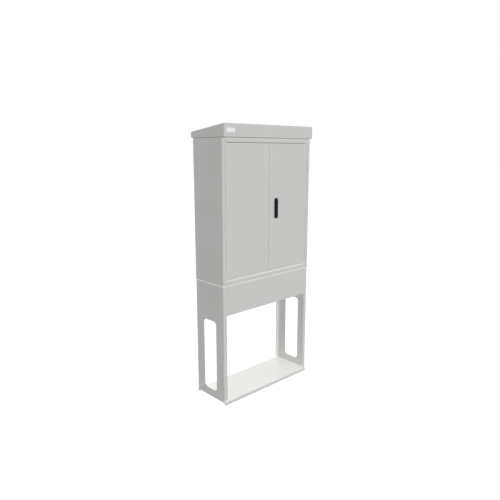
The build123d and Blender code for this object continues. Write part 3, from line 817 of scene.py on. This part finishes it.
rib_front = sleeve_front - rib_depth
rib_low = low.z + rib_rise
rib = rounded_plate(
    (middle_x - rib_width / 2, rib_front, rib_low),
    (middle_x + rib_width / 2, sleeve_front, rib_low + rib_height),
    rib_corner, rib_corner,
)
round_front(rib, rib_front, rib_round)
parts = [rib, sleeve]
for number in range(1, rib_count):
    copy = rib.copy()
    copy.data = rib.data.copy()
    copy.data.transform(Matrix.Translation((0, 0, number * rib_pitch)))
    scene.collection.objects.link(copy)
    parts.append(copy)
join_pieces(parts, sleeve)
finish_piece(sleeve, "lever_sleeve", black_grain, "handle_lever")

# Rod lock of the right door
# The pinion, its cover and the two rack rods are zinc-plated steel, and the rods run in posts
# moulded in dark grey nylon.

dress(zinc_plate, "lock_pinion", "lock_cover", "upper_lock_rod", "lower_lock_rod")
dark_nylon = finish_material(
    "dark_grey_nylon", dark=(0.050, 0.051, 0.054), light=(0.064, 0.065, 0.068),
    gloss=(0.42, 0.55), grain_scale=1500, mottle_scale=25, bump=0.12,
)
dress(dark_nylon, "rod_guides")

# Lock cover screws
# The cover's two flanges are screwed to the back of the door's skin with zinc-plated button-head
# screws, two in each flange.

flange_x = 0.0063
flange_margin = 0.008
cover_sheet = 0.002
low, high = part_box("lock_cover")
flange_back = low.y + cover_sheet
seats = [
    ((x, flange_back, z), (0, 1, 0))
    for x in (low.x + flange_x, high.x - flange_x)
    for z in (low.z + flange_margin, high.z - flange_margin)
]
set_copies(button_screw(), "lock_cover_screws", zinc_plate, seats, "right_door")

# Slide bolts of the left door
# Flat zinc-plated bolts with a turned knob, in nylon guides, and keepers on the rails that they and
# the lock rods shoot into.

dress(zinc_plate, "left_upper_bolt", "left_lower_bolt", "door_keepers")
dress(dark_nylon, "left_bolt_guides")

# Mounting plate
# The plate, its brackets and the clamp rail are galvanised sheet, left bare, with the pale frosted
# flakes that hot zinc forms as it sets. The device rails are rolled and zinc plated.

flake_scale = 95
flake_dark = (0.37, 0.39, 0.40, 1)
flake_light = (0.52, 0.53, 0.53, 1)
flake_gloss = (0.34, 0.55)
frost_scale = 700
frost_bump = 0.06
frost_depth = 0.0003

galvanised = bpy.data.materials.new("galvanised_sheet")
galvanised.use_nodes = True
tree = galvanised.node_tree
shader = tree.nodes["Principled BSDF"]
shader.inputs["Metallic"].default_value = 1
place = tree.nodes.new("ShaderNodeTexCoord").outputs["Object"]
flakes = tree.nodes.new("ShaderNodeTexVoronoi")
flakes.inputs["Scale"].default_value = flake_scale
tree.links.new(place, flakes.inputs["Vector"])
flake = tree.nodes.new("ShaderNodeSeparateColor")
tree.links.new(flakes.outputs["Color"], flake.inputs[0])
shade = mix_colours(tree, flake.outputs[0], flake_dark, flake_light)
tree.links.new(shade, shader.inputs["Base Color"])
rough = spread_out(tree, flake.outputs[1], 0, 1, *flake_gloss)
tree.links.new(rough, shader.inputs["Roughness"])
emboss(tree, shader, noise(tree, place, frost_scale, detail=3), frost_bump, frost_depth)
dress(galvanised, "mounting_plate", "mounting_brackets", "cable_clamp_rail")
device_rails = ("din_rail_top", "din_rail_middle", "din_rail_bottom")
dress(zinc_plate, *device_rails)

# Plate and rail screws
# The plate hangs on its brackets by four hex screws on washers, and each device rail is held to the
# plate by two button-head screws in its channel. All are zinc plated.

hex_sides = 6
hex_radius = 0.0058
hex_corner = hex_radius / math.cos(math.pi / hex_sides)
hex_height = 0.0042
hex_washer_radius = 0.0088
hex_washer = 0.0016
hex_washer_points = 32
hex_round = 0.0007
hex_segments = 3
hex_dimple = hex_round / 3
hex_smooth = math.radians(30)


def hex_screw():
    """A hex-head screw on its washer, head up, seated at the origin."""
    bpy.ops.object.select_all(action="DESELECT")
    bpy.ops.mesh.primitive_cylinder_add(
        vertices=hex_washer_points, radius=hex_washer_radius, depth=hex_washer,
        location=(0, 0, hex_washer / 2),
    )
    washer = bpy.context.object
    bpy.ops.object.transform_apply(location=True, rotation=False, scale=False)
    bpy.ops.object.mode_set(mode="EDIT")
    pick_edges(washer, lambda a, b: near(a.z, hex_washer) and near(b.z, hex_washer))
    bpy.ops.mesh.bevel(offset=rim_round, segments=rim_segments, affect="EDGES")
    bpy.ops.object.mode_set(mode="OBJECT")
    bpy.ops.object.select_all(action="DESELECT")
    top = hex_washer + hex_height
    bpy.ops.mesh.primitive_cylinder_add(
        vertices=hex_sides, radius=hex_corner, depth=hex_height,
        location=(0, 0, top - hex_height / 2),
    )
    head = bpy.context.object
    bpy.ops.object.transform_apply(location=True, rotation=False, scale=False)
    bpy.ops.object.mode_set(mode="EDIT")
    pick_edges(head, lambda a, b: near(a.z, top) and near(b.z, top))
    bpy.ops.mesh.bevel(offset=hex_round, segments=hex_segments, affect="EDGES")
    pick_faces(head, lambda middle, normal: near(middle.z, top))
    bpy.ops.mesh.inset(thickness=hex_round)
    raise_faces(-hex_dimple)
    bpy.ops.object.mode_set(mode="OBJECT")
    join_pieces([head, washer], washer)
    bpy.ops.object.shade_smooth_by_angle(angle=hex_smooth)
    return washer


plate_screw_x = 0.285
bracket_inset = 0.060
low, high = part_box("mounting_plate")
seats = [
    ((x, low.y, z), (0, -1, 0))
    for x in (-plate_screw_x, plate_screw_x)
    for z in (low.z + bracket_inset, high.z - bracket_inset)
]
set_copies(hex_screw(), "mounting_plate_screws", zinc_plate, seats, "cabinet")

rail_screw_x = 0.250
rail_sheet = 0.001
seats = []
for rail in device_rails:
    low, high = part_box(rail)
    channel = high.y - rail_sheet
    rail_z = (low.z + high.z) / 2
    seats += [((x, channel, rail_z), (0, -1, 0)) for x in (-rail_screw_x, rail_screw_x)]
set_copies(button_screw(), "rail_screws", zinc_plate, seats, "cabinet")

# Earth bar
# A bare copper bar on two cast-resin stand-offs. The copper has darkened in patches, and the resin
# is a deep red with a moulded gloss.

copper = finish_material(
    "tarnished_copper", dark=(0.46, 0.20, 0.12), light=(0.78, 0.41, 0.28), metallic=1,
    gloss=(0.26, 0.48), grain_scale=1300, mottle_scale=35, bump=0.10,
)
dress(copper, "earth_bar")
cast_resin = finish_material(
    "red_cast_resin", dark=(0.26, 0.020, 0.014), light=(0.33, 0.030, 0.020),
    gloss=(0.30, 0.42), grain_scale=1200, mottle_scale=40, bump=0.10,
)
dress(cast_resin, "earth_bar_supports")

# Earth bar screws
# Eight zinc-plated hex screws on washers stand in a row along the bar and wait for the earth
# conductors.

screw_pitch = 0.050
screw_count = 8
low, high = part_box("earth_bar")
bar_z = (low.z + high.z) / 2
first_x = -screw_pitch * (screw_count - 1) / 2
seats = [
    ((first_x + number * screw_pitch, low.y, bar_z), (0, -1, 0)) for number in range(screw_count)
]
set_copies(hex_screw(), "earth_bar_screws", zinc_plate, seats, "cabinet")
